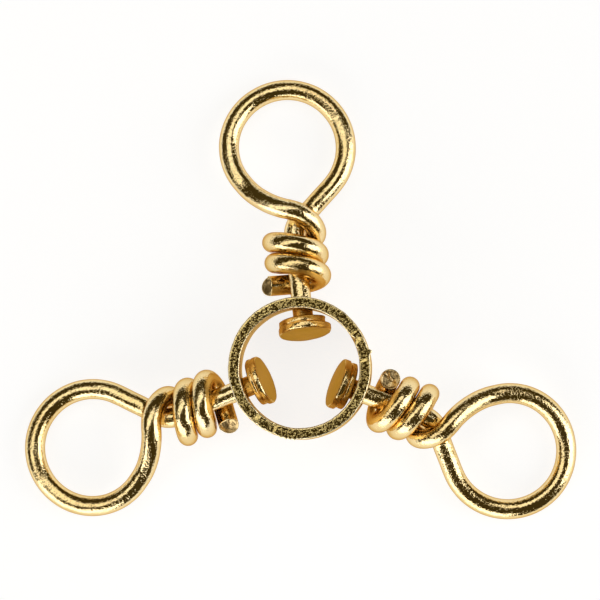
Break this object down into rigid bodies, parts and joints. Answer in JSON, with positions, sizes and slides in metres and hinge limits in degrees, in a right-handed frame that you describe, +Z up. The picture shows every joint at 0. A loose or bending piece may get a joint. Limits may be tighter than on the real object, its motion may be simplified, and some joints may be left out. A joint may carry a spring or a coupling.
{
  "type": "three-way swivel",
  "caption": "Three-way swivel: a short band ring with a free-turning wire eye in each radial hole, each eye ending in a teardrop loop wrapped on its shank.",
  "frame": {"origin": "middle of the footprint, on the plane that the swivel lies on", "axes": "+Z up along the ring's axis; +Y along the upper eye; +X from the left eye to the right eye"},
  "size_m": [0.0402, 0.032, 0.0064],
  "materials": {
    "ring_brass": "gold-tone plating over a cut and lightly deburred band, grainy on the end faces",
    "wire_brass": "bright gold-tone plated wire with a fine draw grain"
  },
  "bodies": {
    "ring": {"hub_ring": "ring_brass"},
    "upper_eye": {"upper_wire_eye": "wire_brass"},
    "left_eye": {"left_wire_eye": "wire_brass"},
    "right_eye": {"right_wire_eye": "wire_brass"}
  },
  "joints": [
    {"name": "upper_eye_spin", "type": "hinge", "parent": "ring", "child": "upper_eye", "pos_m": [0.00015, -0.00034, 0.00322], "axis": [-0.1166, 0.9777, -0.1745], "continuous": true},
    {"name": "left_eye_spin", "type": "hinge", "parent": "ring", "child": "left_eye", "pos_m": [-0.00441, -0.00668, 0.00322], "axis": [-0.9104, -0.3752, -0.1745], "continuous": true},
    {"name": "right_eye_spin", "type": "hinge", "parent": "ring", "child": "right_eye", "pos_m": [0.00449, -0.00683, 0.00322], "axis": [0.9229, -0.3432, -0.1745], "continuous": true}
  ]
}
